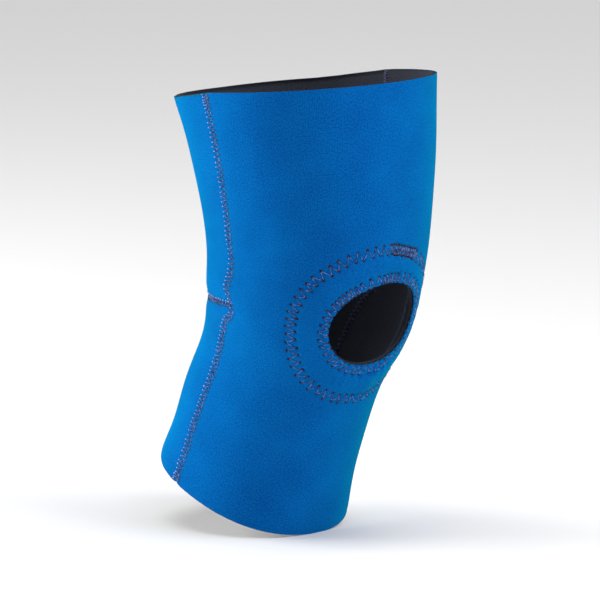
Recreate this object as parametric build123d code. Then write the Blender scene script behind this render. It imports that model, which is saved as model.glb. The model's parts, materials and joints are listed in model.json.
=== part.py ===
from build123d import *
import math
import os

# Pull-on knee sleeve with an open knee cap. Millimetres, +Z up, the knee cap faces -Y, X runs across the
# knee. The origin is the middle of the knee: the point of the sleeve's centreline at the level where the
# side seams meet the crease seam. The rest shape is a knee bent by THIGH_LEAN + CALF_LEAN degrees.

# Centreline: a straight run, an arc and a straight run, in the YZ plane
HALF_LENGTH = 127.0        # centreline length above the crease, and below it
THIGH_LEAN = 6.2           # degrees that the thigh leans back from vertical
CALF_LEAN = 23.6           # degrees that the calf swings back from vertical
BEND_LENGTH = 56.0         # length of the arc
BEND_MIDDLE = 31.0         # height of the arc's middle along the centreline

# Outer cross-section at stations along the centreline, measured from the centreline
STATIONS = [-127.0, -76.0, -36.0, 0.0, 32.0, 76.0, 127.0]
FRONT_DEPTH = [64.3, 59.1, 59.9, 65.2, 63.7, 70.1, 72.0]
BACK_DEPTH = [48.2, 49.8, 48.4, 57.7, 64.8, 68.2, 80.8]
SEAM_SETBACK = [4.9, 6.3, 4.6, 3.8, 8.1, 7.5, 8.5]
WIDTH_TO_DEPTH = 0.95      # side-to-side size over front-to-back size
SQUARENESS = 2.25          # exponent of the section's superellipse, 2 being an ellipse
OUTLINE_POINTS = 24
LOFT_STEP = 26.0
LOFT_OVERRUN = 4.0         # the lofts run past both cut edges and are trimmed flat

# Laminate: knitted face cloth, foam rubber core, knitted lining, as depths below the outer surface
FACE_DEPTH = 0.4
CORE_DEPTH = 2.6
LINING_DEPTH = 3.0
LAYERS = {"face": (0.0, FACE_DEPTH), "core": (FACE_DEPTH, CORE_DEPTH), "lining": (CORE_DEPTH, LINING_DEPTH)}

# Knee cap opening and its two rings of stitching, as half sizes seen square on to the opening
OPENING_HEIGHT = 11.0      # centre's height along the centreline
OPENING = (33.3, 26.9)
INNER_STITCH = (37.2, 31.4)
PAD_INNER = (39.6, 34.6)
PAD_OUTER = (46.6, 45.9)
OUTER_STITCH = (49.6, 49.8)
COVER_OUTER = (51.2, 53.0)
PAD_THICKNESS = 3.5
COVER_THICKNESS = 0.6

# Stitch rows, as flat bands of thread on the outer surface
THREAD_HEIGHT = 0.5
SEAM_STITCH_WIDTH = 5.0
RING_STITCH_WIDTH = 4.0

# Zones that stay stiff (thigh and calf) and the zone between them that bends
FRONT_WEDGE = (35.0, -60.0)         # degrees above and below -Y
BACK_WEDGE = (42.0, -26.0)          # degrees above and below +Y
FOLD_SLOPE = 8.7           # degrees that the line half way between the zones rises towards the back
PIVOT_RADIUS = 10.0
BORDER_GAP = 0.3
FAR = 260.0                # longer than anything here
SMALLEST_SOLID = 1.0       # mm³; anything smaller is a crumb of trimming


def smooth(values, s):
    """Value at height s of a smooth curve through the values at the stations."""
    heights = STATIONS
    slopes = [(values[i + 1] - values[i]) / (heights[i + 1] - heights[i]) for i in range(len(values) - 1)]
    tangents = [0.0] * len(values)
    for i in range(1, len(values) - 1):
        before = heights[i] - heights[i - 1]
        after = heights[i + 1] - heights[i]
        tangents[i] = (slopes[i - 1] * after + slopes[i] * before) / (before + after)
    tangents[0] = 1.5 * slopes[0] - 0.5 * tangents[1]
    tangents[-1] = 1.5 * slopes[-1] - 0.5 * tangents[-2]
    i = 0
    while i < len(values) - 2 and s > heights[i + 1]:
        i += 1
    span = heights[i + 1] - heights[i]
    t = (s - heights[i]) / span
    start = (1 + 2 * t) * (1 - t) ** 2 * values[i] + t * (1 - t) ** 2 * span * tangents[i]
    end = t * t * (3 - 2 * t) * values[i + 1] + t * t * (t - 1) * span * tangents[i + 1]
    return start + end


def arc_path(s):
    """(y, z, lean) of the centreline at height s, counted from the arc's middle."""
    low = -math.radians(CALF_LEAN)
    high = math.radians(THIGH_LEAN)
    radius = BEND_LENGTH / (high - low)
    middle = (low + high) / 2
    along = min(max(s, -BEND_LENGTH / 2), BEND_LENGTH / 2)
    lean = middle + along / radius
    straight = s - along
    y = radius * (math.cos(middle) - math.cos(lean)) + straight * math.sin(lean)
    z = radius * (math.sin(lean) - math.sin(middle)) + straight * math.cos(lean)
    return y, z, lean


def centreline(s):
    """(y, z, lean) of the centreline at height s above the crease."""
    y0, z0, _ = arc_path(-BEND_MIDDLE)
    y, z, lean = arc_path(s - BEND_MIDDLE)
    return y - y0, z - z0, lean


def in_section(s, x, v):
    """Point of the cross-section at height s, x across the knee and v behind the centreline."""
    y, z, lean = centreline(s)
    return (x, y + v * math.cos(lean), z - v * math.sin(lean))


def outline_point(s, angle, depth):
    """Point of the outline at height s; angle 0 is the front and depth is measured inwards."""
    front = smooth(FRONT_DEPTH, s)
    back = smooth(BACK_DEPTH, s)
    half_width = WIDTH_TO_DEPTH * (front + back) / 2 - depth
    c = math.cos(angle)
    sn = math.sin(angle)
    power = 2 / SQUARENESS
    x = math.copysign(half_width * abs(sn) ** power, sn)
    reach = (front if c > 0 else back) - depth
    return in_section(s, x, -math.copysign(reach * abs(c) ** power, c))


def leg_solid(depth):
    """Solid that fills the sleeve up to the given depth below its outer surface."""
    steps = math.ceil((HALF_LENGTH + LOFT_OVERRUN) / LOFT_STEP)
    faces = []
    for i in range(-steps, steps + 1):
        s = i * (HALF_LENGTH + LOFT_OVERRUN) / steps
        angles = [2 * math.pi * (k + 0.5) / OUTLINE_POINTS for k in range(OUTLINE_POINTS)]
        points = [outline_point(s, a, depth) for a in angles]
        faces.append(Face(Wire([Edge.make_spline([Vector(*p) for p in points], periodic=True)])))
    return Solid.make_loft([f.outer_wire() for f in faces])


def side_polygon(points):
    """Face in the YZ plane, from its (y, z) corners."""
    return Face(Wire.make_polygon([Vector(0, y, z) for y, z in points], close=True))


def polar(angle):
    """(y, z) of a far point at an angle in degrees from +Y towards +Z."""
    return FAR * math.cos(math.radians(angle)), FAR * math.sin(math.radians(angle))


def prism(face):
    """Side-view face pulled across the whole width of the sleeve."""
    return Solid.extrude(face.moved(Location((-FAR / 2, 0, 0))), Vector(FAR, 0, 0))


def between_cut_edges():
    """Everything between the two flat cut edges."""
    corners = [(HALF_LENGTH, -FAR), (HALF_LENGTH, FAR), (-HALF_LENGTH, FAR), (-HALF_LENGTH, -FAR)]
    return prism(side_polygon([in_section(s, 0, v)[1:] for s, v in corners]))


def seam_curve(shift):
    """Side seam seen from the side, moved back by shift."""
    heights = [-HALF_LENGTH - LOFT_OVERRUN] + STATIONS[1:-1] + [HALF_LENGTH + LOFT_OVERRUN]
    points = [in_section(s, 0, smooth(SEAM_SETBACK, s) + shift) for s in heights]
    return Edge.make_spline([Vector(*p) for p in points])


def along_seam(front_shift, back_shift):
    """Everything between two shifted copies of the side seam."""
    front = seam_curve(front_shift)
    back = seam_curve(back_shift)
    top = Edge.make_line(front @ 1, back @ 1)
    bottom = Edge.make_line(back @ 0, front @ 0)
    return prism(Face(Wire([front, top, back, bottom])))


def above(slope, height):
    """Everything above a plane through X that rises by slope towards the back and is lifted by height."""
    y, z = polar(slope)
    corners = [(-y, height - z), (y, height + z), (y, height + z + FAR), (-y, height - z + FAR)]
    return prism(side_polygon(corners))


def bending_zone(growth):
    """Two wedges, front and back, and a round pivot that joins them; growth widens them."""
    rays = [180 - FRONT_WEDGE[0], 180 - FRONT_WEDGE[1], BACK_WEDGE[0], BACK_WEDGE[1]]
    zone = prism(Face(Wire.make_circle(PIVOT_RADIUS + growth, Plane.YZ)))
    zone = zone.fuse(prism(side_polygon([(0, 0), polar(rays[0]), polar(rays[1])])))
    zone = zone.fuse(prism(side_polygon([(0, 0), polar(rays[2]), polar(rays[3])])))
    if growth == 0:
        return zone
    edge = prism(side_polygon([(0, -growth), (FAR, -growth), (FAR, growth), (0, growth)]))
    for angle in rays:
        zone = zone.fuse(edge.rotate(Axis.X, angle))
    return zone


def knee_cap_bar(half_size):
    """Elliptical bar through the front of the sleeve, square on to the knee cap opening."""
    y, z, lean = centreline(OPENING_HEIGHT)
    plane = Plane(origin=(0, y, z), x_dir=(1, 0, 0), z_dir=(0, -math.cos(lean), math.sin(lean)))
    ellipse = Face(Wire.make_ellipse(half_size[0], half_size[1], plane))
    return Solid.extrude(ellipse, plane.z_dir * FAR / 2)


def knee_cap_ring(outer, inner):
    return knee_cap_bar(outer) - knee_cap_bar(inner)


def stitch_ring(half_size):
    """Elliptical ring as wide as a row of ring stitching, centred on half_size."""
    half = RING_STITCH_WIDTH / 2
    return knee_cap_ring([h + half for h in half_size], [h - half for h in half_size])


leg_solids = {}


def skin(top, bottom):
    """Layer of the sleeve between two depths below the outer surface."""
    for depth in (top, bottom):
        if depth not in leg_solids:
            leg_solids[depth] = leg_solid(depth)
    return leg_solids[top] - leg_solids[bottom]


def save(name, shape):
    solids = [s for s in shape.solids() if s.volume > SMALLEST_SOLID]
    export_step(Compound(label=name, children=solids), os.path.join("parts", name + ".step"))


def panel_regions():
    """The space of each panel's stretch, by name."""
    half_gap = BORDER_GAP / 2
    whole = between_cut_edges()
    front = along_seam(-FAR / 2, -half_gap)
    back = along_seam(half_gap, FAR / 2)
    knee = bending_zone(0)
    stiff = whole - bending_zone(BORDER_GAP)
    thigh = stiff & above(FOLD_SLOPE, 0)
    calf = stiff - above(FOLD_SLOPE, 0)
    return {
        "front_panel_thigh": thigh & front,
        "front_panel_knee": (knee & front) - knee_cap_bar(OPENING),
        "front_panel_calf": calf & front,
        "upper_back_panel_thigh": thigh & back,
        "upper_back_panel_knee": knee & back & above(0, half_gap),
        "lower_back_panel_knee": (knee & back) - above(0, -half_gap),
        "lower_back_panel_calf": calf & back,
    }


def build_panels():
    regions = panel_regions()
    for layer, (top, bottom) in LAYERS.items():
        sheet = skin(top, bottom)
        for panel, region in regions.items():
            save(panel + "_" + layer, sheet & region)


def build_side_seams():
    """Flat zigzag rows over both side seams, split where the sleeve bends."""
    half = SEAM_STITCH_WIDTH / 2
    rows = skin(-THREAD_HEIGHT, 0) & along_seam(-half, half) & between_cut_edges()
    stiff = rows - bending_zone(BORDER_GAP)
    stretches = {
        "thigh": stiff & above(FOLD_SLOPE, 0),
        "knee": rows & bending_zone(0),
        "calf": stiff - above(FOLD_SLOPE, 0),
    }
    for name, stretch in stretches.items():
        solids = stretch.solids()
        for side, sign in (("left", -1), ("right", 1)):
            row = [s for s in solids if sign * s.center().X > 0]
            save(side + "_side_seam_" + name, Compound(children=row))


def build_crease_seam():
    """Zigzag row over the seam across the hollow of the knee, between the two side seams' rows."""
    half = SEAM_STITCH_WIDTH / 2
    row = skin(-THREAD_HEIGHT, 0) & along_seam(half + BORDER_GAP, FAR / 2) & above(0, -half)
    save("crease_seam", row - above(0, half))


def build_knee_cap_ring():
    """Pad ring under the front panel, the cover that holds it, and the two rows that sew the cover on."""
    pad_bottom = LINING_DEPTH + PAD_THICKNESS
    cover_bottom = pad_bottom + COVER_THICKNESS
    pad_space = knee_cap_ring(PAD_OUTER, PAD_INNER)
    save("buttress_pad", skin(LINING_DEPTH, pad_bottom) & pad_space)
    side = COVER_THICKNESS
    hat = knee_cap_ring([h + side for h in PAD_OUTER], [h - side for h in PAD_INNER])
    brim = skin(LINING_DEPTH, LINING_DEPTH + COVER_THICKNESS) & knee_cap_ring(COVER_OUTER, OPENING)
    crown = skin(LINING_DEPTH, cover_bottom) & hat
    pad = skin(LINING_DEPTH, pad_bottom) & pad_space
    save("buttress_cover", (brim + crown) - pad)
    thread = skin(-THREAD_HEIGHT, 0)
    save("inner_ring_stitch", thread & stitch_ring(INNER_STITCH))
    save("outer_ring_stitch", thread & stitch_ring(OUTER_STITCH))


os.makedirs("parts", exist_ok=True)
build_panels()
build_side_seams()
build_crease_seam()
build_knee_cap_ring()
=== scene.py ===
import bpy
import json
import math
import random
import numpy as np
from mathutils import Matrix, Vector
from mathutils.bvhtree import BVHTree


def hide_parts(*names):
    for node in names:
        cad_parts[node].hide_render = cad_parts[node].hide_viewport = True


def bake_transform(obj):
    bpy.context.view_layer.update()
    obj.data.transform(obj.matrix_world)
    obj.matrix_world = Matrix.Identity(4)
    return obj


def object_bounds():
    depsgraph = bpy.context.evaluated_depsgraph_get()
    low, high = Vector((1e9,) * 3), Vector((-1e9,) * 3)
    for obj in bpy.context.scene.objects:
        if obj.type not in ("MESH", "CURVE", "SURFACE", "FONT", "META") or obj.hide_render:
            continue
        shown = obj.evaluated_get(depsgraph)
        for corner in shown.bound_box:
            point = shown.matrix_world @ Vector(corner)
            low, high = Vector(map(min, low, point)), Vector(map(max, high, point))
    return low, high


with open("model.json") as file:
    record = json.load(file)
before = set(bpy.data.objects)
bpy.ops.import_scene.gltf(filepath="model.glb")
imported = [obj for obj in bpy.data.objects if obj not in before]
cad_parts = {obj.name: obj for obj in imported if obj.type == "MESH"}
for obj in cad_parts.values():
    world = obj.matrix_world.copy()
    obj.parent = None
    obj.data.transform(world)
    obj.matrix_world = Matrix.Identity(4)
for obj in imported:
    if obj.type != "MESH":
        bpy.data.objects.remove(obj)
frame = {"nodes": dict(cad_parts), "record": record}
cad_low, cad_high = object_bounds()
MM = 0.001
random.seed(7)

# ---------------------------------------------------------------------------------------------------
# The sleeve's centreline and outer surface, read from the CAD frame
# ---------------------------------------------------------------------------------------------------
BEND_LENGTH = 56 * MM
MOUNTS = {m["name"]: m for m in frame["record"]["mounts"]}


def centreline_data():
    """Lean at both ends, and where the arc between the two straight runs lies."""
    top = MOUNTS["thigh_opening"]
    bottom = MOUNTS["calf_opening"]
    lean_top = math.atan2(top["axis"][1], top["axis"][2])
    lean_bottom = math.atan2(-bottom["axis"][1], -bottom["axis"][2])
    t = np.array(top["pos_m"][1:])
    b = np.array(bottom["pos_m"][1:])
    dt = np.array([math.sin(lean_top), math.cos(lean_top)])
    db = np.array([math.sin(lean_bottom), math.cos(lean_bottom)])
    to_corner = np.linalg.solve(np.array([-dt, -db]).T, b - t)
    radius = BEND_LENGTH / (lean_top - lean_bottom)
    tangent = radius * math.tan((lean_top - lean_bottom) / 2)
    above = to_corner[0] - tangent
    below = to_corner[1] - tangent
    half = (above + BEND_LENGTH + below) / 2
    middle = half - above - BEND_LENGTH / 2
    return lean_bottom, lean_top, radius, middle, half, t


LEAN_LOW, LEAN_HIGH, BEND_RADIUS, BEND_MIDDLE, HALF_LENGTH, TOP_CENTRE = centreline_data()


def centreline(h):
    """(y, z, lean) of the centreline at heights h, as arrays."""
    s = np.asarray(h, float) - BEND_MIDDLE
    along = np.clip(s, -BEND_LENGTH / 2, BEND_LENGTH / 2)
    mean = (LEAN_LOW + LEAN_HIGH) / 2
    lean = mean + along / BEND_RADIUS
    y = BEND_RADIUS * (math.cos(mean) - np.cos(lean)) + (s - along) * np.sin(lean)
    z = BEND_RADIUS * (np.sin(lean) - math.sin(mean)) + (s - along) * np.cos(lean)
    return y, z, lean


Y_SHIFT, Z_SHIFT = (TOP_CENTRE[i] - float(centreline(HALF_LENGTH)[i]) for i in (0, 1))


def ray_line(h, theta):
    """Centreline point and outward direction at height h and angle theta from the front towards -X."""
    y, z, lean = centreline(h)
    h, theta, y, z, lean = np.broadcast_arrays(h, theta, y, z, lean)
    c, s = np.cos(theta), np.sin(theta)
    origin = np.stack([np.zeros_like(y), y + Y_SHIFT, z + Z_SHIFT], -1)
    direction = np.stack([-s, -c * np.cos(lean), c * np.sin(lean)], -1)
    return origin, direction


def face_tree():
    """Ray tree of every outer cloth node, and which of its polygons belong to the front panel."""
    points, polygons, in_front = [], [], []
    for name, node in sorted(frame["nodes"].items()):
        if name.endswith("_face"):
            start = len(points)
            points += [v.co.copy() for v in node.data.vertices]
            polygons += [[start + i for i in p.vertices] for p in node.data.polygons]
            in_front += [name.startswith("front")] * len(node.data.polygons)
    return BVHTree.FromPolygons(points, polygons), in_front


TREE, IN_FRONT = face_tree()
CAST_FROM = 0.2


def cast(h, theta):
    """(radius, in front) of the CAD's outer surface, or (None, None) over an opening."""
    origin, direction = ray_line(h, theta)
    outside = Vector(origin + CAST_FROM * direction)
    _, _, index, travel = TREE.ray_cast(outside, Vector(-direction), CAST_FROM)
    if index is None:
        return None, None
    return CAST_FROM - travel, IN_FRONT[index]


ROWS = 170
COLUMNS = 240
ROW_HEIGHTS = np.linspace(-HALF_LENGTH + 0.4 * MM, HALF_LENGTH - 0.4 * MM, ROWS)
ROW_STEP = ROW_HEIGHTS[1] - ROW_HEIGHTS[0]
COLUMN_STEP = 2 * math.pi / COLUMNS


def bridge_gaps(row):
    """Fills the missing radii of one row, with smooth curves between what stands on each side."""
    known = ~np.isnan(row)
    if known.all():
        return row
    shift = int(np.argmax(known & ~np.roll(known, -1)))
    line = np.roll(row, -shift)
    known = ~np.isnan(line)
    i = 1
    while i < COLUMNS:
        if known[i]:
            i += 1
            continue
        end = i
        while end < COLUMNS and not known[end]:
            end += 1
        a, b = line[i - 1], line[end % COLUMNS]
        slope_a = line[i - 1] - line[i - 3]
        slope_b = line[(end + 2) % COLUMNS] - line[end % COLUMNS]
        span = end - i + 1
        t = np.arange(1, span) / span
        line[i:end] = (
            a * (1 + 2 * t) * (1 - t) ** 2
            + b * t * t * (3 - 2 * t)
            + span * slope_a / 2 * t * (1 - t) ** 2
            + span * slope_b / 2 * t * t * (t - 1)
        )
        i = end
    return np.roll(line, shift)


def radius_table():
    rows = []
    for h in ROW_HEIGHTS:
        found = [cast(h, j * COLUMN_STEP)[0] for j in range(COLUMNS)]
        rows.append(bridge_gaps(np.array([np.nan if r is None else r for r in found])))
    return np.array(rows)


RADII = radius_table()


def cubic_weights(t):
    return np.stack([
        -0.5 * t + t * t - 0.5 * t ** 3,
        1 - 2.5 * t * t + 1.5 * t ** 3,
        0.5 * t + 2 * t * t - 1.5 * t ** 3,
        -0.5 * t * t + 0.5 * t ** 3,
    ])


def radius(h, theta):
    """Smooth radius of the outer surface at any height and angle."""
    u = np.clip((h - ROW_HEIGHTS[0]) / ROW_STEP, -0.3, ROWS - 0.7)
    i = np.clip(np.floor(u).astype(int), 1, ROWS - 3)
    v = (theta / COLUMN_STEP) % COLUMNS
    j = np.floor(v).astype(int)
    wu, wv = cubic_weights(u - i), cubic_weights(v - j)
    total = np.zeros(np.broadcast(u, v).shape)
    for a in range(4):
        line = sum(wv[b] * RADII[i + a - 1, (j + b - 1) % COLUMNS] for b in range(4))
        total += wu[a] * line
    return total


def surface(h, theta):
    """Point of the sleeve's smooth outer surface."""
    origin, direction = ray_line(h, theta)
    return origin + radius(np.asarray(h, float), np.asarray(theta, float))[..., None] * direction


def surface_normal(h, theta):
    dh = surface(h + 0.3 * MM, theta) - surface(h - 0.3 * MM, theta)
    dt = surface(h, theta + 0.005) - surface(h, theta - 0.005)
    n = np.cross(dh, dt)
    n /= np.linalg.norm(n, axis=-1, keepdims=True)
    _, out = ray_line(h, theta)
    return n * np.sign((n * out).sum(-1))[..., None]


# ---------------------------------------------------------------------------------------------------
# Cloth coordinates: girth a, from the front line towards -X, and front b, up from the opening's middle
# ---------------------------------------------------------------------------------------------------
GIRTH_STEPS = 361
GIRTH_ANGLES = np.linspace(0, math.pi, GIRTH_STEPS)


def girth_table():
    hh, tt = np.meshgrid(ROW_HEIGHTS, GIRTH_ANGLES, indexing="ij")
    steps = np.linalg.norm(np.diff(surface(hh, tt), axis=1), axis=-1)
    return np.concatenate([np.zeros((ROWS, 1)), np.cumsum(steps, axis=1)], axis=1)


GIRTHS = girth_table()
OPENING_HEIGHT = 11 * MM


def front_table():
    heights = np.linspace(-HALF_LENGTH, HALF_LENGTH, 400)
    line = surface(heights, np.zeros(400))
    lengths = np.concatenate([[0], np.cumsum(np.linalg.norm(np.diff(line, axis=0), axis=1))])
    return heights, lengths - np.interp(OPENING_HEIGHT, heights, lengths)


FRONT_HEIGHTS, FRONT_LENGTHS = front_table()


def height_of(b):
    return np.interp(b, FRONT_LENGTHS, FRONT_HEIGHTS)


def front_of(h):
    return np.interp(h, FRONT_HEIGHTS, FRONT_LENGTHS)


def angle_of(a, h):
    """Angle at which the girth from the front line is a, at heights h."""
    a, h = np.broadcast_arrays(np.asarray(a, float), np.asarray(h, float))
    u = np.clip((h - ROW_HEIGHTS[0]) / ROW_STEP, 0, ROWS - 1.000001)
    row = np.floor(u).astype(int)
    part = u - row
    out = np.zeros(a.shape)
    for r in np.unique(row):
        here = row == r
        low = np.interp(np.abs(a[here]), GIRTHS[r], GIRTH_ANGLES)
        high = np.interp(np.abs(a[here]), GIRTHS[r + 1], GIRTH_ANGLES)
        out[here] = low + (high - low) * part[here]
    return out * np.sign(a)


def girth_of(theta, h):
    u = np.clip((np.asarray(h, float) - ROW_HEIGHTS[0]) / ROW_STEP, 0, ROWS - 1.000001)
    row = np.floor(u).astype(int)
    part = u - row
    v = np.clip(np.abs(theta) / (math.pi / (GIRTH_STEPS - 1)), 0, GIRTH_STEPS - 1.000001)
    col = np.floor(v).astype(int)
    q = v - col
    low = GIRTHS[row, col] * (1 - q) + GIRTHS[row, col + 1] * q
    high = GIRTHS[row + 1, col] * (1 - q) + GIRTHS[row + 1, col + 1] * q
    return (low + (high - low) * part) * np.sign(theta)


def seam_table():
    """Angle of the side seam at a row of heights: where the CAD's front panel ends."""
    heights = np.linspace(-HALF_LENGTH + MM, HALF_LENGTH - MM, 80)
    angles = []
    for h in heights:
        low, high = math.radians(60), math.radians(130)
        for _ in range(12):
            middle = (low + high) / 2
            _, front = cast(h, middle)
            if front is None:
                break
            low, high = (middle, high) if front else (low, middle)
        angles.append((low + high) / 2)
    return heights, np.array(angles)


SEAM_HEIGHTS, SEAM_ANGLES = seam_table()

# Where the side seam strays from the CAD's line: (height, reach, shift towards the front) in mm
SEAM_PULLS = [(26, 11, 1.9), (9, 7, -2.4), (-3, 7, 5.2), (-24, 9, -0.8)]
SIDE_RADIUS = 60 * MM


def bell(distance, size):
    return np.exp(-(distance / size) ** 2)


def seam_angle(h):
    """Angle of the side seam: the CAD's line, pulled forwards and back where the crease seam joins it."""
    pulled = sum(shift * bell(h - middle * MM, reach * MM) for middle, reach, shift in SEAM_PULLS)
    return np.interp(h, SEAM_HEIGHTS, SEAM_ANGLES) - pulled * MM / SIDE_RADIUS


RIM_ANGLES = np.radians([0, 60, 80, 96, 105, 115, 125, 135, 180])
RIM_RISES = np.array([0, 0.8, 1.1, 1.1, -0.3, -1.2, -2.3, -3.0, -3.4]) * MM


def rim_rise(theta, h):
    """How far the thigh's cut edge stands above or below its level line, fading out below it."""
    theta = np.abs(theta)
    theta = np.where(theta > math.pi, 2 * math.pi - theta, theta)
    fade = np.clip((h - HALF_LENGTH + 40 * MM) / (40 * MM), 0, 1)
    return np.interp(theta, RIM_ANGLES, RIM_RISES) * fade * fade * (3 - 2 * fade)


def crease_height(theta):
    """Height on the back at which the crease seam crosses each angle: it lies level with the origin."""
    low = np.full(np.shape(theta), -60 * MM)
    high = np.full(np.shape(theta), 60 * MM)
    for _ in range(24):
        middle = (low + high) / 2
        under = surface(middle, theta)[..., 2] < 0
        low = np.where(under, middle, low)
        high = np.where(under, high, middle)
    return (low + high) / 2


# ---------------------------------------------------------------------------------------------------
# Rings round the knee cap opening, as ellipses in cloth coordinates
# ---------------------------------------------------------------------------------------------------
class Ring:
    """Ellipse in cloth coordinates: middle (a, b), half sizes, and its turn in degrees."""

    def __init__(self, a, b, half_a, half_b, turn):
        self.middle = np.array([a, b]) * MM
        self.half = np.array([half_a, half_b]) * MM
        self.turn = math.radians(turn)

    def reach(self, psi):
        """Distance from the middle to the ellipse in direction psi."""
        c, s = np.cos(psi - self.turn), np.sin(psi - self.turn)
        return 1 / np.sqrt((c / self.half[0]) ** 2 + (s / self.half[1]) ** 2)

    def beyond(self, a, b):
        """Signed distance outside the ellipse, close to true near it."""
        x, y = a - self.middle[0], b - self.middle[1]
        psi = np.arctan2(y, x)
        return np.hypot(x, y) - self.reach(psi)

    def point(self, psi, offset=0.0):
        """Cloth coordinates of the ring's point in direction psi, moved outwards by offset."""
        r = self.reach(psi) + offset
        return self.middle[0] + r * np.cos(psi), self.middle[1] + r * np.sin(psi)


OPENING = Ring(1.0, 0.8, 34.0, 26.7, -5.7)
INNER_ROW = Ring(1.0, 0.7, 37.4, 30.1, -5.7)
OUTER_ROW = Ring(2.8, -1.6, 55.5, 49.5, 14.6)
INNER_WIDTH = 5.4 * MM
OUTER_WIDTH = 5.8 * MM
SEAM_WIDTH = 5.0 * MM


# ---------------------------------------------------------------------------------------------------
# Needle points of every zigzag row, in (height, angle)
# ---------------------------------------------------------------------------------------------------
def near_any(t, dense):
    return any(low <= t <= high for low, high in dense)


def zigzag(length, period, dense_period, dense, width, jitter=0.16):
    """(distance along, offset across) of each needle point of a zigzag row; it is tighter in dense."""
    points, t, side = [], 0.0, 1
    while t < length:
        step = (dense_period if near_any(t, dense) else period) / 2
        across = side * width / 2 * (1 + random.uniform(-jitter, jitter))
        points.append((t + random.uniform(-jitter, jitter) * step, across))
        t += step * (1 + random.uniform(-jitter, jitter))
        side = -side
    return points


def ring_needles(ring, width, period, dense_period, dense):
    """Needle points round a ring; dense holds (from, to) in degrees anticlockwise from +a."""
    psi = np.linspace(0, 2 * math.pi, 721)
    a, b = ring.point(psi)
    along = np.concatenate([[0], np.cumsum(np.hypot(np.diff(a), np.diff(b)))])
    stretches = [tuple(np.interp(np.radians(d), psi, along)) for d in dense]
    needles = zigzag(along[-1] - period / 4, period, dense_period, stretches, width)
    t = np.array([n[0] for n in needles])
    across = np.array([n[1] for n in needles])
    a, b = ring.point(np.interp(t, along, psi), across)
    h = height_of(b)
    return h, angle_of(a, h)


def seam_needles(sign):
    """Needle points down a side seam, with a short tight stretch at each cut edge."""
    h = np.linspace(HALF_LENGTH - 0.6 * MM, -HALF_LENGTH + 0.6 * MM, 600)
    line = surface(h, sign * seam_angle(h))
    along = np.concatenate([[0], np.cumsum(np.linalg.norm(np.diff(line, axis=0), axis=1))])
    total = along[-1]
    dense = [(0, 8 * MM), (total - 7 * MM, total)]
    needles = zigzag(total, 2.9 * MM, 1.6 * MM, dense, SEAM_WIDTH)
    heights = np.interp([n[0] for n in needles], along, h)
    girth = girth_of(seam_angle(heights), heights) + np.array([n[1] for n in needles])
    theta = angle_of(girth, heights)
    return heights + rim_rise(theta, heights), sign * theta


def crease_needles():
    """Needle points across the hollow of the knee, from one side seam to the other."""
    edge = float(seam_angle(0.0)) + 0.03
    theta = np.linspace(edge, 2 * math.pi - edge, 400)
    line = surface(crease_height(theta), theta)
    along = np.concatenate([[0], np.cumsum(np.linalg.norm(np.diff(line, axis=0), axis=1))])
    needles = zigzag(along[-1], 2.5 * MM, 2.5 * MM, [], 4.2 * MM)
    angles = np.interp([n[0] for n in needles], along, theta)
    return crease_height(angles) + np.array([n[1] for n in needles]), angles


NEEDLES = {
    "inner_ring_stitch": ring_needles(INNER_ROW, INNER_WIDTH, 5.2 * MM, 2.6 * MM, [(20, 50), (78, 102)]),
    "outer_ring_stitch": ring_needles(OUTER_ROW, OUTER_WIDTH, 5.7 * MM, 1.9 * MM, [(91, 119)]),
    "left_side_seam": seam_needles(1),
    "right_side_seam": seam_needles(-1),
    "crease_seam": crease_needles(),
}
RING_STITCHES = ("inner_ring_stitch", "outer_ring_stitch")
NEEDLE_POINTS = np.concatenate([surface(*NEEDLES[name]) for name in RING_STITCHES])


def make_object(name, vertices, faces, uvs=None):
    mesh = bpy.data.meshes.new(name)
    mesh.from_pydata(np.asarray(vertices).tolist(), [], [list(f) for f in faces])
    if uvs is not None:
        layer = mesh.uv_layers.new(name="cloth")
        loops = np.zeros(len(mesh.loops), np.int32)
        mesh.loops.foreach_get("vertex_index", loops)
        layer.data.foreach_set("uv", (np.asarray(uvs)[loops] * 10).astype(np.float32).ravel())
    mesh.polygons.foreach_set("use_smooth", [True] * len(mesh.polygons))
    obj = bpy.data.objects.new(name, mesh)
    bpy.context.scene.collection.objects.link(obj)
    return obj


# ---------------------------------------------------------------------------------------------------
# Relief of the outer cloth
# ---------------------------------------------------------------------------------------------------
PUFF = 2.0 * MM
DIMPLE = 0.9 * MM
DIMPLE_RADIUS = 0.85 * MM
UNEVENNESS = 0.25 * MM
PRESSED_DEPTH = 0.9 * MM
PRESSED_REACH = 4.5 * MM


def needle_dimples(points):
    """Sum of the dimples that the needle points press into the cloth at each point."""
    flat = points.reshape(-1, 3)
    total = np.zeros(len(flat))
    for start in range(0, len(flat), 4000):
        block = flat[start:start + 4000]
        gap = ((block[:, None, :] - NEEDLE_POINTS[None]) ** 2).sum(-1)
        total[start:start + 4000] = np.exp(-gap / DIMPLE_RADIUS ** 2).max(1)
    return total.reshape(points.shape[:-1])


def slow_waves(points):
    """Very soft unevenness of cloth over a leg, between -1 and 1."""
    x, y, z = (points[..., i] / MM for i in range(3))
    return (
        0.4 * np.sin(x / 13 + z / 21 + 1.3)
        + 0.3 * np.sin(y / 11 - z / 17 + 0.4)
        + 0.3 * np.sin(z / 9 + x / 19 + 2.1)
    )


def band_point(share, psi):
    """Cloth coordinates between the two stitched rings: share 0 on the inner row, 1 on the outer."""
    middle = [i + (o - i) * share for i, o in zip(INNER_ROW.middle, OUTER_ROW.middle)]
    reach = INNER_ROW.reach(psi) * (1 - share) + OUTER_ROW.reach(psi) * share
    return middle[0] + reach * np.cos(psi), middle[1] + reach * np.sin(psi)


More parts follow.
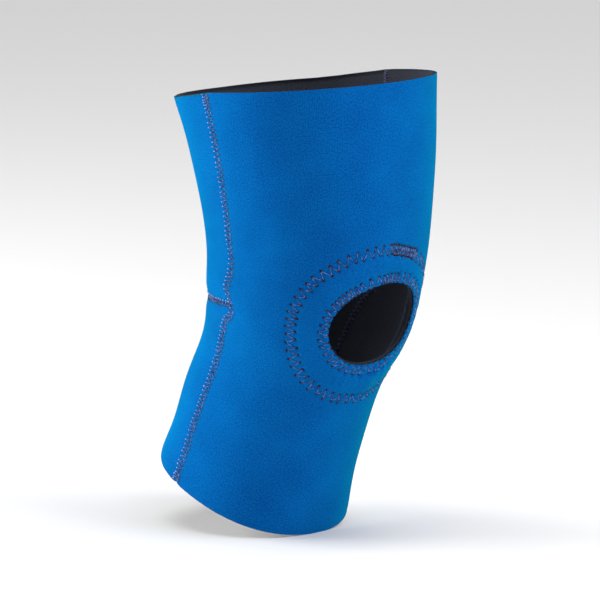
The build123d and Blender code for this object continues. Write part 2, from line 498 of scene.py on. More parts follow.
def band_place(a, b):
    """(share, psi) of a point in cloth coordinates, the other way round from band_point."""
    share = np.full(np.shape(a), 0.5)
    for _ in range(5):
        middle = [i + (o - i) * share for i, o in zip(INNER_ROW.middle, OUTER_ROW.middle)]
        x, y = a - middle[0], b - middle[1]
        psi = np.arctan2(y, x)
        inner, outer = INNER_ROW.reach(psi), OUTER_ROW.reach(psi)
        share = np.clip((np.hypot(x, y) - inner) / (outer - inner), -0.5, 1.5)
    return share, psi % (2 * math.pi)


BAND_ROWS = 31
BAND_COLUMNS = 420
BAND_SHARES = np.linspace(-0.15, 1.15, BAND_ROWS)
BAND_STEP = BAND_SHARES[1] - BAND_SHARES[0]
SIMULATION_SCALE = 10
HELD_RADIUS = 0.8 * MM


def simulated_quilting():
    """Swelling of the cloth over the pad, held at its needle points and blown out as cloth, from 0 to 1."""
    psi = np.arange(BAND_COLUMNS) * 2 * math.pi / BAND_COLUMNS
    a, b = band_point(BAND_SHARES[:, None], psi[None])
    h = height_of(b)
    theta = angle_of(a, h)
    start, normals = surface(h, theta), surface_normal(h, theta)
    gaps = np.linalg.norm(start.reshape(-1, 1, 3) - NEEDLE_POINTS[None], axis=-1).min(1)
    held = (gaps < HELD_RADIUS).reshape(BAND_ROWS, BAND_COLUMNS)
    held[[0, -1]] = True
    index = np.arange(BAND_ROWS * BAND_COLUMNS).reshape(BAND_ROWS, BAND_COLUMNS)
    following = np.roll(index, -1, 1)
    faces = np.stack([index[:-1], following[:-1], following[1:], index[1:]], -1).reshape(-1, 4)
    if np.cross(start[0, 1] - start[0, 0], start[1, 0] - start[0, 0]) @ normals[0, 0] < 0:
        faces = faces[:, ::-1]
    patch = make_object("quilting", start.reshape(-1, 3) * SIMULATION_SCALE, faces)
    group = patch.vertex_groups.new(name="held")
    group.add([int(i) for i in np.flatnonzero(held)], 1.0, "REPLACE")
    cloth = patch.modifiers.new("cloth", "CLOTH")
    cloth.settings.vertex_group_mass = "held"
    cloth.settings.quality = 6
    cloth.settings.mass = 0.3
    cloth.settings.tension_stiffness = 18
    cloth.settings.compression_stiffness = 18
    cloth.settings.bending_stiffness = 1.5
    cloth.settings.use_pressure = True
    cloth.settings.uniform_pressure_force = 4
    cloth.settings.effector_weights.gravity = 0
    cloth.point_cache.frame_end = 20
    scene = bpy.context.scene
    for number in range(1, 21):
        scene.frame_set(number)
    blown = patch.evaluated_get(bpy.context.evaluated_depsgraph_get()).data
    end = np.zeros(len(blown.vertices) * 3, np.float32)
    blown.vertices.foreach_get("co", end)
    bpy.data.objects.remove(patch)
    scene.frame_set(1)
    moved = end.reshape(BAND_ROWS, BAND_COLUMNS, 3) / SIMULATION_SCALE - start
    rise = np.clip((moved * normals).sum(-1), 0, None)
    rise = (2 * rise + np.roll(rise, 1, 1) + np.roll(rise, -1, 1)) / 4
    return rise / np.quantile(rise, 0.98)


QUILTING = simulated_quilting()


def quilting(a, b):
    """Swelling at cloth coordinates, 0 away from the padded band."""
    share, psi = band_place(a, b)
    row = np.clip((share - BAND_SHARES[0]) / BAND_STEP, 0, BAND_ROWS - 1.000001)
    column = psi * BAND_COLUMNS / (2 * math.pi)
    i, j = np.floor(row).astype(int), np.floor(column).astype(int)
    u, v = row - i, column - j
    j, k = j % BAND_COLUMNS, (j + 1) % BAND_COLUMNS
    low = QUILTING[i, j] * (1 - v) + QUILTING[i, k] * v
    high = QUILTING[i + 1, j] * (1 - v) + QUILTING[i + 1, k] * v
    return low + (high - low) * u


def signed_angle(theta):
    """The same angle, between -pi and pi."""
    return np.where(theta > math.pi, theta - 2 * math.pi, theta)


def on_front(theta):
    """Whether an angle lies on the front of the leg, where the rings of stitching are."""
    return np.cos(theta) > -0.2


def soft_relief(h, theta, points):
    """Relief that the whole laminate follows: the padded ring and slow unevenness."""
    puff = PUFF * quilting(girth_of(signed_angle(theta), h), front_of(h))
    return np.where(on_front(theta), puff, 0) + UNEVENNESS * slow_waves(points)


def trough(distance, *steps):
    """Depth in mm at a distance from a sewn line, as the sum of steps of (depth, reach) in mm."""
    return sum(depth * bell(distance, reach * MM) for depth, reach in steps)


def sewn_relief(h, theta, points, dimples=True):
    """Troughs, dimples and rolled edges that the stitching leaves in the outer cloth."""
    signed = signed_angle(theta)
    a, b = girth_of(signed, h), front_of(h)
    edge = np.clip(OPENING.beyond(a, b), 0, None)
    ring = trough(INNER_ROW.beyond(a, b), (0.35, 2.6)) + trough(OUTER_ROW.beyond(a, b), (0.40, 2.8))
    ring = np.where(on_front(theta), ring + trough(edge, (0.5, 0.9)), 0)
    side = trough(np.abs(np.abs(a) - girth_of(seam_angle(h), h)), (0.30, 2.8), (0.75, 0.7))
    crease = trough(np.abs(points[..., 2]), (1.3, 4.5), (0.60, 0.7))
    behind = np.abs(signed) > seam_angle(h)
    sunk = -MM * (ring + side + np.where(behind, crease, 0))
    if dimples:
        sunk = sunk - DIMPLE * needle_dimples(points)
    return sunk


def pressed_foam(h, theta):
    """Further sinking of the foam's outer side beneath the ring stitching."""
    a, b = girth_of(signed_angle(theta), h), front_of(h)
    inner, outer = (bell(row.beyond(a, b), PRESSED_REACH) for row in (INNER_ROW, OUTER_ROW))
    return np.where(on_front(theta), PRESSED_DEPTH * np.maximum(inner, outer), 0)


# ---------------------------------------------------------------------------------------------------
# Panels of laminate
# ---------------------------------------------------------------------------------------------------
FACE_DEPTH = 0.4 * MM
CORE_DEPTH = 2.6 * MM
LINING_DEPTH = 3.0 * MM
SEAM_GAP = 0.10 * MM
RING_END = 1.40            # where the net round the opening ends, as a share of the way to the outer row
NOMINAL_GIRTH = 100 * MM   # half width of the net before it is stretched out to the side seams
EDGE_ROUNDING = 0.18       # bulge of a cut edge, as a share of its thickness


def border_reach(psi, low, high):
    """Distance from the outer ring's middle to the nominal panel's border in direction psi."""
    c, s = np.cos(psi), np.sin(psi)
    a, b = OUTER_ROW.middle
    side = np.where(c > 0, NOMINAL_GIRTH - a, NOMINAL_GIRTH + a) / np.maximum(np.abs(c), 1e-9)
    end = np.where(s > 0, high - b, b - low) / np.maximum(np.abs(s), 1e-9)
    return np.minimum(side, end)


def directions(count, low, high):
    """Directions round the opening, spread by angle and by border length, with one at each corner."""
    middle = OUTER_ROW.middle
    corners = sorted(
        math.atan2(b - middle[1], a - middle[0])
        for a in (-NOMINAL_GIRTH, NOMINAL_GIRTH)
        for b in (low, high)
    )
    fine = np.linspace(corners[0], corners[0] + 2 * math.pi, 4001)
    reach = border_reach(fine, low, high)
    steps = np.hypot(np.diff(reach * np.cos(fine)), np.diff(reach * np.sin(fine)))
    weight = np.concatenate([[0], np.cumsum(0.5 * steps / steps.sum() + 0.5 / len(steps))])
    marks = np.interp(corners + [corners[0] + 2 * math.pi], fine, weight)
    out = []
    for start, end in zip(marks[:-1], marks[1:]):
        n = max(2, round(count * (end - start)))
        out += list(start + (end - start) * np.arange(n) / n)
    return np.interp(out, weight, fine)


def ring_coordinates(psi, t):
    """Cloth coordinates at share t of the way from the opening's edge (0) to the outer stitching (1)."""
    middle = OPENING.middle + (OUTER_ROW.middle - OPENING.middle) * min(t, 1)
    reach = OPENING.reach(psi) * (1 - t) + OUTER_ROW.reach(psi) * t
    return middle[0] + reach * np.cos(psi), middle[1] + reach * np.sin(psi)


def front_grid(count, ring_rows, outer_rows):
    """(height, angle, a, b) of a net from the opening's edge out to the front panel's cut edges."""
    low, high = float(front_of(-HALF_LENGTH)), float(front_of(HALF_LENGTH))
    middle = OUTER_ROW.middle
    psi = directions(count, low, high)
    rows = [ring_coordinates(psi, t) for t in np.linspace(0, RING_END, ring_rows)]
    reach = OPENING.reach(psi) * (1 - RING_END) + OUTER_ROW.reach(psi) * RING_END
    border = border_reach(psi, low, high)
    for k in range(1, outer_rows + 1):
        u = k / outer_rows
        f = 0.25 * u + 0.75 * u * u * (3 - 2 * u)
        r = reach + (border - reach) * f
        a, b = middle[0] + r * np.cos(psi), middle[1] + r * np.sin(psi)
        h = height_of(b)
        full = girth_of(seam_angle(h), h) - SEAM_GAP
        rows.append((a * (1 + (full / NOMINAL_GIRTH - 1) * f * f * (3 - 2 * f)), b))
    a, b = np.array([r[0] for r in rows]), np.array([r[1] for r in rows])
    h = height_of(b)
    theta = angle_of(a, h)
    return h + rim_rise(theta, h), theta, a, b


def back_grid(upper, columns, rows):
    """(height, angle, a, b) of a net over the upper or the lower back panel."""
    share = np.linspace(0, 1, columns)
    lift = np.linspace(0, 1, rows)[:, None]
    end = HALF_LENGTH if upper else -HALF_LENGTH
    gap = SEAM_GAP if upper else -SEAM_GAP
    edge = float(SEAM_ANGLES.mean())
    theta = np.broadcast_to(edge + (2 * math.pi - 2 * edge) * share, (rows, columns))
    for _ in range(3):
        h = (crease_height(theta[0]) + gap) * (1 - lift) + end * lift
        edge = seam_angle(h[:, :1]) + SEAM_GAP / SIDE_RADIUS
        theta = edge + (2 * math.pi - 2 * edge) * share
    girth = girth_of(np.minimum(theta, 2 * math.pi - theta), h)
    half = girth_of(np.full(theta.shape, math.pi), h)
    a = np.where(theta > math.pi, 2 * half - girth, girth)
    return h + rim_rise(theta, h), theta, a, front_of(h)


def enclosed(vertices, faces):
    """Signed volume inside faces of four corners, below 0 where they face inwards."""
    p, q, r, s = (vertices[faces[:, i]] for i in range(4))
    return float((p * (np.cross(q, r) + np.cross(r, s))).sum())


def shell(name, top, bottom, closed, uv):
    """Closed skin between two nets of points; a closed net joins its last column to its first."""
    rows, cols = top.shape[:2]
    count = rows * cols
    index = np.arange(count).reshape(rows, cols)
    if closed:
        index = np.concatenate([index, index[:, :1]], axis=1)
        loops = [index[0, ::-1], index[-1]]
    else:
        loops = [np.concatenate([index[-1], index[-2::-1, -1], index[0, -2::-1], index[1:, 0]])]
    quads = np.stack([index[:-1, :-1], index[:-1, 1:], index[1:, 1:], index[1:, :-1]], -1).reshape(-1, 4)
    flat_top, flat_bottom, flat_uv = top.reshape(-1, 3), bottom.reshape(-1, 3), uv.reshape(-1, 2)
    vertices, uvs, faces = [flat_top, flat_bottom], [flat_uv, flat_uv], [quads, quads[:, ::-1] + count]
    total = 2 * count
    for loop in loops:
        ring = loop[:-1]
        n = len(ring)
        following = np.roll(np.arange(n), -1)
        middle = (flat_top[ring] + flat_bottom[ring]) / 2
        along = np.roll(middle, -1, 0) - np.roll(middle, 1, 0)
        across = flat_top[ring] - flat_bottom[ring]
        out = np.cross(along, across)
        out /= np.maximum(np.linalg.norm(out, axis=1, keepdims=True), 1e-12)
        vertices.append(middle + EDGE_ROUNDING * np.linalg.norm(across, axis=1, keepdims=True) * out)
        uvs.append(flat_uv[ring])
        edge = total + np.arange(n)
        total += n
        faces.append(np.stack([ring, edge, edge[following], ring[following]], -1))
        faces.append(np.stack([edge, ring + count, ring[following] + count, edge[following]], -1))
    vertices, faces = np.concatenate(vertices), np.concatenate(faces)
    if enclosed(vertices, faces) < 0:
        faces = faces[:, ::-1]
    return make_object(name, vertices, faces, np.concatenate(uvs))


def sunk_points(grid, depth, sewn=None):
    """Points of a net at a depth below the relief's surface; sewn is any further relief."""
    h, theta = grid[:2]
    points = surface(h, theta)
    height = soft_relief(h, theta, points) - depth
    if sewn is not None:
        height = height + sewn(h, theta, points)
    return points + height[..., None] * surface_normal(h, theta)


def face_piece(name, grid, closed):
    top = sunk_points(grid, 0, sewn_relief)
    bottom = top - FACE_DEPTH * surface_normal(*grid[:2])
    return shell(name, top, bottom, closed, np.stack(grid[2:], -1))


def core_piece(name, grid, closed):
    def under_cloth(h, theta, points):
        return sewn_relief(h, theta, points, dimples=False) - pressed_foam(h, theta)

    top = sunk_points(grid, FACE_DEPTH, under_cloth)
    bottom = sunk_points(grid, CORE_DEPTH)
    return shell(name, top, bottom, closed, np.stack(grid[2:], -1))


def lining_piece(name, grid, closed):
    top = sunk_points(grid, CORE_DEPTH)
    bottom = sunk_points(grid, LINING_DEPTH)
    return shell(name, top, bottom, closed, np.stack(grid[2:], -1))


# ---------------------------------------------------------------------------------------------------
# Threads, knots with a painted highlight, and needle holes with painted shade
# ---------------------------------------------------------------------------------------------------
TUBE_SIDES = 6
LEG_POINTS = 8


def tube(name, path, normals, size, loop):
    """Round thread along a path; a looped path joins its end to its start."""
    if loop:
        along = np.roll(path, -1, 0) - np.roll(path, 1, 0)
    else:
        along = np.gradient(path, axis=0)
    along /= np.maximum(np.linalg.norm(along, axis=1, keepdims=True), 1e-12)
    side = np.cross(along, normals)
    side /= np.maximum(np.linalg.norm(side, axis=1, keepdims=True), 1e-12)
    up = np.cross(side, along)
    turn = np.arange(TUBE_SIDES) * 2 * math.pi / TUBE_SIDES
    rings = path[:, None] + size * (
        np.cos(turn)[None, :, None] * side[:, None] + np.sin(turn)[None, :, None] * up[:, None]
    )
    n = len(path)
    index = np.arange(n * TUBE_SIDES).reshape(n, TUBE_SIDES)
    below = index if loop else index[:-1]
    above = np.roll(index, -1, 0) if loop else index[1:]
    right = np.roll(np.arange(TUBE_SIDES), -1)
    faces = np.stack([below, below[:, right], above[:, right], above], -1).reshape(-1, 4).tolist()
    if not loop:
        faces += [index[0, ::-1].tolist(), index[-1].tolist()]
    run = np.concatenate([[0], np.cumsum(np.linalg.norm(np.diff(path, axis=0), axis=1))])
    uvs = np.stack([np.repeat(run, TUBE_SIDES), np.tile(turn * size, n)], -1)
    return make_object(name, rings.reshape(-1, 3), faces, uvs)


def thread(name, needles, size, loop, depth=0.0, rise=0.30 * MM):
    """Thread that dips at every needle point; depth above 0 puts it on the inside, at that depth."""
    h, theta = needles
    if loop:
        h, theta = np.append(h, h[0]), np.append(theta, theta[0])
    t = np.arange(LEG_POINTS) / LEG_POINTS
    legs_h = (h[:-1, None] + np.diff(h)[:, None] * t).ravel()
    legs_t = (theta[:-1, None] + np.diff(theta)[:, None] * t).ravel()
    bow = np.tile(np.sin(math.pi * t) ** 0.6, len(h) - 1)
    points = surface(legs_h, legs_t)
    normals = surface_normal(legs_h, legs_t)
    height = soft_relief(legs_h, legs_t, points)
    lift = -0.55 * MM + (0.55 * MM + rise) * bow
    if depth:
        height = height - depth - lift
    else:
        height = height + sewn_relief(legs_h, legs_t, points, dimples=False) + lift
    return tube(name, points + height[:, None] * normals, normals, size, loop)


def needle_holes(name, rows):
    """Small dished dark discs where the needle went through, with the shade of the needle's dimple painted
    in: rows of (needles, radius, depth).
    """
    vertices, faces, uvs = [], [], []
    turn = np.arange(8) * math.pi / 4
    for (h, theta), size, depth in rows:
        points, normals = surface(h, theta), surface_normal(h, theta)
        height = soft_relief(h, theta, points) + sewn_relief(h, theta, points, dimples=False) - depth
        for p, n, up in zip(points, normals, height):
            side = np.cross(n, [0, 0, 1])
            side /= np.linalg.norm(side)
            other = np.cross(n, side)
            start = len(vertices)
            spread = size * (1 + random.uniform(-0.2, 0.2))
            vertices.append(p + (up - 0.3 * MM) * n)
            vertices += [p + up * n + spread * (math.cos(w) * side + math.sin(w) * other) for w in turn]
            uvs += [(p[0], p[2])] * 9
            faces += [[start, start + 1 + k, start + 1 + (k + 1) % 8] for k in range(8)]
    return make_object(name, vertices, faces, uvs)


def every_other(needles, first):
    return needles[0][first::2], needles[1][first::2]


def knots(name, needles, size, rise):
    """Small raised loops of thread where a zigzag turns."""
    h, theta = needles
    points, normals = surface(h, theta), surface_normal(h, theta)
    height = soft_relief(h, theta, points) + sewn_relief(h, theta, points, dimples=False) + rise
    turn = np.arange(8) * math.pi / 4
    vertices, faces, uvs = [], [], []
    for p, n, up in zip(points, normals, height):
        side = np.cross(n, [0, 0, 1])
        side /= np.linalg.norm(side)
        along = np.cross(n, side)
        tilt = random.uniform(-0.5, 0.5)
        c, s = math.cos(tilt), math.sin(tilt)
        wide, narrow = c * side + s * along, c * along - s * side
        grown = size * random.uniform(0.8, 1.2)
        start = len(vertices)
        vertices.append(p + (up + 0.7 * grown) * n)
        for lift, spread in ((0.5, 0.7), (0.0, 1.0), (-0.5, 0.7)):
            centre = p + (up + lift * grown) * n
            wide_reach, narrow_reach = 1.4 * spread * grown * wide, 0.8 * spread * grown * narrow
            vertices += [centre + math.cos(w) * wide_reach + math.sin(w) * narrow_reach for w in turn]
        vertices.append(p + (up - 0.7 * grown) * n)
        uvs += [(p[0] + 0.002 * k, p[2]) for k in range(26)]
        for k in range(8):
            m = (k + 1) % 8
            faces.append([start, start + 1 + k, start + 1 + m])
            for ring in (start + 1, start + 9):
                faces.append([ring + k, ring + 8 + k, ring + 8 + m, ring + m])
            faces.append([start + 25, start + 17 + m, start + 17 + k])
    return make_object(name, vertices, faces, uvs)


# ---------------------------------------------------------------------------------------------------
# Pad ring and its cover, inside the sleeve
# ---------------------------------------------------------------------------------------------------
def ring_net(count, shares):
    psi = np.linspace(0, 2 * math.pi, count, endpoint=False)
    rows = [ring_coordinates(psi, t) for t in shares]
    a, b = np.array([r[0] for r in rows]), np.array([r[1] for r in rows])
    h = height_of(b)
    return h, angle_of(a, h), a, b


def swell(shares, start, end):
    """Rounded profile that rises from 0 at start and end to 1 between them."""
    t = np.clip((np.asarray(shares) - start) / (end - start), 0, 1)
    return np.sin(math.pi * t) ** 0.45


def pad_piece(name):
    shares = np.linspace(0.26, 0.82, 26)
    net = ring_net(280, shares)
    thick = 3.4 * MM * swell(shares, 0.25, 0.83)[:, None]
    top = sunk_points(net, LINING_DEPTH + 0.02 * MM)
    bottom = sunk_points(net, LINING_DEPTH + 0.1 * MM + thick)
    return shell(name, top, bottom, True, np.stack(net[2:], -1))


def cover_piece(name):
    shares = np.linspace(0.02, 1.06, 40)
    net = ring_net(320, shares)
    under = 3.6 * MM * swell(shares, 0.17, 0.92)[:, None]
    top = sunk_points(net, LINING_DEPTH + 0.05 * MM + under)
    bottom = sunk_points(net, LINING_DEPTH + 0.65 * MM + under)
    return shell(name, top, bottom, True, np.stack(net[2:], -1))


# ---------------------------------------------------------------------------------------------------
# Materials
# ---------------------------------------------------------------------------------------------------
def new_material(name, roughness, specular, sheen=0.0, tint=(1, 1, 1)):
    material = bpy.data.materials.new(name)
    material.use_nodes = True
    shader = material.node_tree.nodes["Principled BSDF"]
    shader.inputs["Roughness"].default_value = roughness
    shader.inputs["Specular IOR Level"].default_value = specular
    shader.inputs["Sheen Weight"].default_value = sheen
    shader.inputs["Sheen Roughness"].default_value = 0.45
    shader.inputs["Sheen Tint"].default_value = (*tint, 1)
    return material, material.node_tree, shader


def add(tree, kind, **values):
    node = tree.nodes.new(kind)
    for key, value in values.items():
        if hasattr(node, key):
            setattr(node, key, value)
        else:
            node.inputs[key.replace("_", " ")].default_value = value
    return node


def math_node(tree, operation, first, second=None):
    node = add(tree, "ShaderNodeMath", operation=operation)
    for socket, value in zip(node.inputs, (first, second)):
        if value is None:
            continue
        if isinstance(value, (int, float)):
            socket.default_value = value
        else:
            tree.links.new(value, socket)
    return node.outputs[0]


def mixed_colour(tree, factor, dark, light):
    node = add(tree, "ShaderNodeMix", data_type="RGBA")
    tree.links.new(factor, node.inputs["Factor"])
    node.inputs["A"].default_value = (*dark, 1)
    node.inputs["B"].default_value = (*light, 1)
    return node.outputs["Result"]


def knit(name, dark, light, roughness, specular, sheen, tint, pitch=0.95 * MM, depth=0.10 * MM):
    """Fine weft knit: columns of small V loops, slightly uneven, with a soft sheen; its colour is painted
    darker in the gaps between the loops, as their shade.
    """
    material, tree, shader = new_material(name, roughness, specular, sheen, tint)
    place = add(tree, "ShaderNodeUVMap", uv_map="cloth")
    split = add(tree, "ShaderNodeSeparateXYZ")
    tree.links.new(place.outputs["UV"], split.inputs[0])
    frequency = 2 * math.pi / (pitch * 10)
    across = math_node(tree, "MULTIPLY", split.outputs["X"], frequency)
    slant = math_node(tree, "ABSOLUTE", math_node(tree, "SINE", math_node(tree, "MULTIPLY", across, 0.5)))
    rise = math_node(tree, "MULTIPLY", split.outputs["Y"], frequency * 1.25)
    course = math_node(tree, "SINE", math_node(tree, "ADD", rise, math_node(tree, "MULTIPLY", slant, 2.6)))
    wale = math_node(tree, "SINE", math_node(tree, "ADD", across, 0.6))
    strong, weak = math_node(tree, "MULTIPLY", course, 0.5), math_node(tree, "MULTIPLY", wale, 0.3)
    loops = math_node(tree, "ADD", strong, weak)
    grain = add(tree, "ShaderNodeTexNoise", Scale=105.0, Detail=3.0, Roughness=0.6)
    tree.links.new(place.outputs["UV"], grain.inputs["Vector"])
    height = math_node(tree, "ADD", loops, math_node(tree, "MULTIPLY", grain.outputs["Fac"], 0.9))
    bump = add(tree, "ShaderNodeBump", Strength=0.7, Distance=depth)
    tree.links.new(height, bump.inputs["Height"])
    tree.links.new(bump.outputs["Normal"], shader.inputs["Normal"])
    patches = add(tree, "ShaderNodeTexNoise", Scale=3.0, Detail=4.0, Roughness=0.55)
    tree.links.new(place.outputs["UV"], patches.inputs["Vector"])
    # Painted shade: the colour is darker in the gaps between the loops, following their relief; the grain
    # specks come out lighter where the grain stands up, and the large patches give uneven tone.
    speck = math_node(tree, "MULTIPLY", math_node(tree, "SUBTRACT", grain.outputs["Fac"], 0.5), 3.0)
    fine = math_node(tree, "ADD", math_node(tree, "MULTIPLY", loops, 0.12), speck)
    tone_and_gap_shade = math_node(tree, "ADD", math_node(tree, "MULTIPLY", patches.outputs["Fac"], 0.9), fine)
    tree.links.new(mixed_colour(tree, tone_and_gap_shade, dark, light), shader.inputs["Base Color"])
    return material


def foam(name, dark, light, roughness):
    """Cut foam rubber: fine closed cells, each pit painted darker as its shade."""
    material, tree, shader = new_material(name, roughness, 0.25)
    place = add(tree, "ShaderNodeTexCoord")
    cells = add(tree, "ShaderNodeTexVoronoi", Scale=2600.0)
    tree.links.new(place.outputs["Object"], cells.inputs["Vector"])
    bump = add(tree, "ShaderNodeBump", Strength=0.6, Distance=0.12 * MM)
    tree.links.new(cells.outputs["Distance"], bump.inputs["Height"])
    tree.links.new(bump.outputs["Normal"], shader.inputs["Normal"])
    # Painted shade: the cells' distance sets both the relief and the colour, so each cell is darkest at the
    # bottom of its pit.
    tree.links.new(mixed_colour(tree, cells.outputs["Distance"], dark, light), shader.inputs["Base Color"])
    return material


def spun(name, dark, light, roughness, sheen):
    """Textured sewing thread: fine plies that wind round it, coloured in patches between a dark and a light
    colour; on the top thread the light patches are painted glints.
    """
    material, tree, shader = new_material(name, roughness, 0.35, sheen, (0.7, 0.7, 1.0))
    place = add(tree, "ShaderNodeUVMap", uv_map="cloth")
    wave = add(tree, "ShaderNodeTexWave", Scale=90.0, Distortion=1.5, bands_direction="DIAGONAL")
    tree.links.new(place.outputs["UV"], wave.inputs["Vector"])
    patches = add(tree, "ShaderNodeTexNoise", Scale=40.0, Detail=3.0)
    tree.links.new(place.outputs["UV"], patches.inputs["Vector"])
    bump = add(tree, "ShaderNodeBump", Strength=0.5, Distance=0.08 * MM)
    tree.links.new(wave.outputs["Fac"], bump.inputs["Height"])
    tree.links.new(bump.outputs["Normal"], shader.inputs["Normal"])
    # Noise patches of the light colour: painted glints on the top thread and the knots, uneven tone on the
    # bobbin thread and the hole discs.
    strong = math_node(tree, "MULTIPLY", math_node(tree, "SUBTRACT", patches.outputs["Fac"], 0.42), 4.0)
    tree.links.new(mixed_colour(tree, strong, dark, light), shader.inputs["Base Color"])
    return material


def plain(name, colour, roughness, specular=0.2):
    material, tree, shader = new_material(name, roughness, specular)
    shader.inputs["Base Color"].default_value = (*colour, 1)
    return material


BLUE_SHEEN = (0.0, 0.85, 0.42)
DARK_SHEEN = (0.6, 0.7, 1.0)
# The knit materials carry painted shade in the gaps between their loops.
FACE_KNIT = knit("royal_blue_knit", (0.002, 0.062, 0.29), (0.002, 0.145, 0.49), 0.9, 0.0, 0.32, BLUE_SHEEN)
LINING_KNIT = knit("lining_knit", (0.012, 0.014, 0.022), (0.03, 0.033, 0.05), 0.85, 0.2, 0.15, DARK_SHEEN)
COVER_KNIT = knit("cover_knit", (0.010, 0.012, 0.02), (0.026, 0.03, 0.045), 0.8, 0.25, 0.15, DARK_SHEEN)
# The foam materials carry painted shade in the pits of their cells.
FOAM = foam("foam_rubber", (0.006, 0.006, 0.008), (0.020, 0.020, 0.024), 0.9)
PAD_FOAM = foam("pad_foam", (0.014, 0.014, 0.017), (0.045, 0.045, 0.050), 0.9)
# Dark navy top thread, with painted glints in its light patches.
THREAD = spun("violet_blue_thread", (0.005, 0.011, 0.065), (0.24, 0.34, 0.74), 0.6, 0.1)
# Knots in a much lighter copy of the thread's colour: a painted highlight on the apexes that face the
# light.
KNOT_HIGHLIGHT = spun("thread_knots", (0.16, 0.26, 0.66), (0.62, 0.72, 1.0), 0.55, 0.1)
BOBBIN = spun("bobbin_thread", (0.03, 0.035, 0.10), (0.08, 0.09, 0.22), 0.7, 0.2)
# Near-black discs at the needle points: the punctures, with their shade painted in.
HOLE_AND_SHADE = spun("needle_hole", (0.003, 0.002, 0.008), (0.020, 0.006, 0.012), 0.9, 0.0)


def finish_piece(obj, material, nodes=()):
    obj.data.materials.append(material)
    if nodes:
        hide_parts(*nodes)
    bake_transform(obj)
    return obj


def cut_area(grid, closed):
    """Area of the flat cut: the net's area on the sleeve's smooth outer surface."""
    points = surface(*grid[:2])
    if closed:
        points = np.concatenate([points, points[:, :1]], axis=1)
    one = points[1:, 1:] - points[:-1, :-1]
    two = points[1:, :-1] - points[:-1, 1:]
    return float(np.linalg.norm(np.cross(one, two), axis=-1).sum() / 2)


def build_panel(panel, names, fine, coarse, closed):
    area = cut_area(coarse, closed)
    for layer, maker, grid, material, slot_name in (
        ("face", face_piece, fine, FACE_KNIT, "face_knit"),
        ("core", core_piece, coarse, FOAM, "foam_core"),
        ("lining", lining_piece, coarse, LINING_KNIT, "lining_knit"),
    ):
        obj = maker(f"{panel}_{layer}", grid, closed)
        finish_piece(obj, material, [f"{panel}_{zone}_{layer}" for zone in names])


ZONE_NAMES = ("thigh", "knee", "calf")
fine_net, coarse_net = front_grid(960, 62, 42), front_grid(320, 30, 24)
build_panel("front_panel", ZONE_NAMES, fine_net, coarse_net, True)
fine_net, coarse_net = back_grid(True, 160, 96), back_grid(True, 90, 50)
build_panel("upper_back_panel", ("thigh", "knee"), fine_net, coarse_net, False)
fine_net, coarse_net = back_grid(False, 130, 96), back_grid(False, 80, 50)
build_panel("lower_back_panel", ("knee", "calf"), fine_net, coarse_net, False)

RING_THREAD = 0.17 * MM
SEAM_THREAD = 0.19 * MM
THROUGH_RING = 3.7 * MM
THROUGH_SEAM = 3.0 * MM
LEFT_NODES = [f"left_side_seam_{zone}" for zone in ZONE_NAMES]
RIGHT_NODES = [f"right_side_seam_{zone}" for zone in ZONE_NAMES]
ROWS_OF_SEWING = {
    "inner_ring": ("inner_ring_stitch", RING_THREAD, True, THROUGH_RING, ["inner_ring_stitch"]),
    "outer_ring": ("outer_ring_stitch", RING_THREAD, True, THROUGH_RING, ["outer_ring_stitch"]),
    "left_side": ("left_side_seam", SEAM_THREAD, False, THROUGH_SEAM, LEFT_NODES),
    "right_side": ("right_side_seam", SEAM_THREAD, False, THROUGH_SEAM, RIGHT_NODES),
    "crease": ("crease_seam", SEAM_THREAD, False, THROUGH_SEAM, ["crease_seam"]),
}
for name, (needles, size, loop, depth, nodes) in ROWS_OF_SEWING.items():
    finish_piece(thread(name + "_thread", NEEDLES[needles], size, loop), THREAD, nodes)
    finish_piece(thread(name + "_bobbin_thread", NEEDLES[needles], size, loop, depth), BOBBIN)

# Dark discs at the needle points, the punctures with their shade painted in; on the side seams and the
# crease seam they sit only on the apexes turned from the light.
holes = needle_holes("needle_holes", [
    (NEEDLES["inner_ring_stitch"], 0.64 * MM, 0.16 * MM),
    (NEEDLES["outer_ring_stitch"], 0.90 * MM, 0.14 * MM),
    (every_other(NEEDLES["left_side_seam"], 1), 0.62 * MM, -0.16 * MM),
    (every_other(NEEDLES["right_side_seam"], 1), 0.62 * MM, -0.16 * MM),
    (every_other(NEEDLES["crease_seam"], 1), 0.62 * MM, -0.16 * MM),
])
finish_piece(holes, HOLE_AND_SHADE)
# Knots on the other apexes of the side seams and the crease seam, in the knot material's painted highlight.
for row in ("left_side_seam", "right_side_seam", "crease_seam"):
    piece = knots(row + "_knots", every_other(NEEDLES[row], 0), 0.42 * MM, 0.25 * MM)
    finish_piece(piece, KNOT_HIGHLIGHT)
finish_piece(pad_piece("pad_ring"), PAD_FOAM, ["buttress_pad"])
cover = finish_piece(cover_piece("pad_cover"), COVER_KNIT, ["buttress_cover"])
cover_net = ring_net(320, np.linspace(0.02, 1.06, 40))
cut_area(cover_net, True)

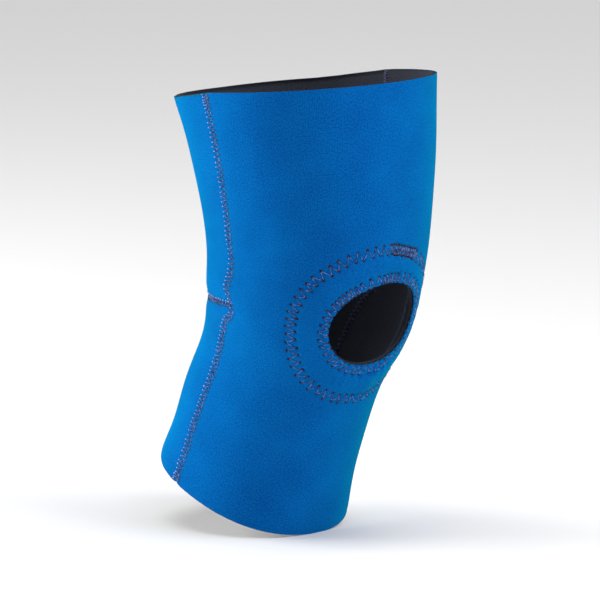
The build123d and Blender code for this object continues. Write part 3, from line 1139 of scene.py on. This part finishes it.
# ---------------------------------------------------------------------------------------------------
# Camera, floor and light
# ---------------------------------------------------------------------------------------------------
AZIMUTH, ELEVATION = math.radians(-41.98), math.radians(10.48)
DISTANCE = 3.3496
back = Vector((
    math.sin(AZIMUTH) * math.cos(ELEVATION),
    -math.cos(AZIMUTH) * math.cos(ELEVATION),
    math.sin(ELEVATION),
))
right = Vector((math.cos(AZIMUTH), math.sin(AZIMUTH), 0))
up = back.cross(right)
target = -3.46 * MM * right - 3.75 * MM * up
camera_data = bpy.data.cameras.new("camera")
camera_data.sensor_width = 36
camera_data.lens = 343
camera = bpy.data.objects.new("camera", camera_data)
bpy.context.scene.collection.objects.link(camera)
camera.rotation_mode = "QUATERNION"
camera.location = target + back * DISTANCE
camera.rotation_quaternion = (-back).to_track_quat("-Z", "Y")
bpy.context.scene.camera = camera

FLOOR_LEVEL = cad_low.z - 0.2 * MM


def round_floor(radius):
    """Plain pale floor, wide enough to fill the view from any side."""
    turn = np.linspace(0, 2 * math.pi, 97)[:-1]
    rim = [(radius * math.cos(w), radius * math.sin(w), FLOOR_LEVEL) for w in turn]
    floor = make_object("floor", rim, [list(range(96))])
    floor.data.materials.append(plain("pale_floor", (0.82, 0.82, 0.82), 0.9))


round_floor(20)


def area_light(name, azimuth, elevation, distance, size, power):
    """Soft square light aimed at the sleeve; azimuth is measured from the camera's, towards its right."""
    a = AZIMUTH + math.radians(azimuth)
    e = math.radians(elevation)
    direction = Vector((math.sin(a) * math.cos(e), -math.cos(a) * math.cos(e), math.sin(e)))
    data = bpy.data.lights.new(name, "AREA")
    data.size = size
    data.energy = power
    light = bpy.data.objects.new(name, data)
    bpy.context.scene.collection.objects.link(light)
    light.location = direction * distance
    light.rotation_mode = "QUATERNION"
    light.rotation_quaternion = direction.to_track_quat("Z", "Y")


area_light("left_softbox", -99, 12, 1.5, 1.0, 32)
area_light("right_softbox", 66, 38, 1.5, 1.0, 17)
overhead = bpy.data.lights.new("overhead", "SUN")
overhead.energy = 1.65
overhead.angle = math.radians(50)
lamp = bpy.data.objects.new("overhead", overhead)
bpy.context.scene.collection.objects.link(lamp)
world = bpy.data.worlds.new("studio")
world.use_nodes = True
world.node_tree.nodes["Background"].inputs["Color"].default_value = (1, 1, 1, 1)
world.node_tree.nodes["Background"].inputs["Strength"].default_value = 0.20
bpy.context.scene.world = world
bpy.context.scene.view_settings.view_transform = "Standard"
